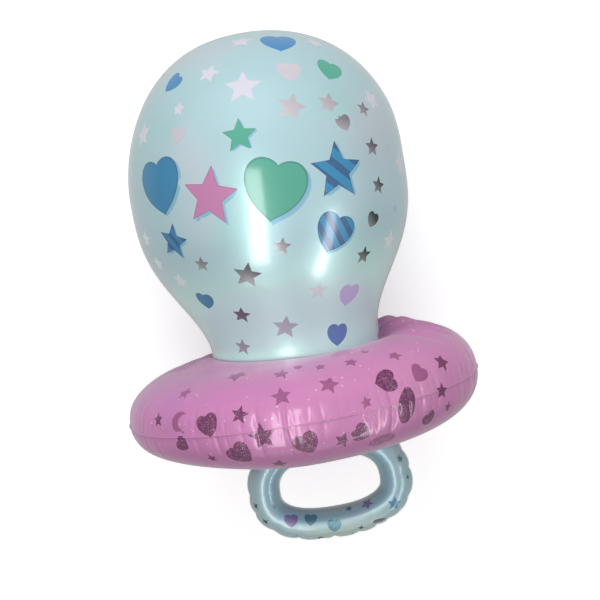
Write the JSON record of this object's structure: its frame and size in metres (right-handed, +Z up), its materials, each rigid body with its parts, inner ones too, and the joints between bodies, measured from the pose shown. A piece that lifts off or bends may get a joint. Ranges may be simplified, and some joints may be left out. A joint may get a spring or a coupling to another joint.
{
  "type": "pacifier foil balloon",
  "caption": "Pacifier-shaped foil balloon lying on its back: a round bulb with a neck, a puckered ring shield and an oval handle ring.",
  "frame": {"origin": "on the ground under the middle of the balloon's box, as it lies on its back", "axes": "+Z up, +Y from the handle to the top of the bulb along the ground, +X to the right of the printed front, which faces up"},
  "size_m": [0.5468, 0.7904, 0.534],
  "materials": {
    "aqua_foil": "pearly aqua foil film with printed stars and hearts",
    "pink_foil": "pearly pink foil film with darker glitter prints",
    "light_blue_foil": "pearly light-blue foil film with small dark prints"
  },
  "bodies": {
    "root": {"teat_bulb": "aqua_foil", "shield_ring": "pink_foil", "handle_ring": "light_blue_foil"}
  },
  "joints": []
}
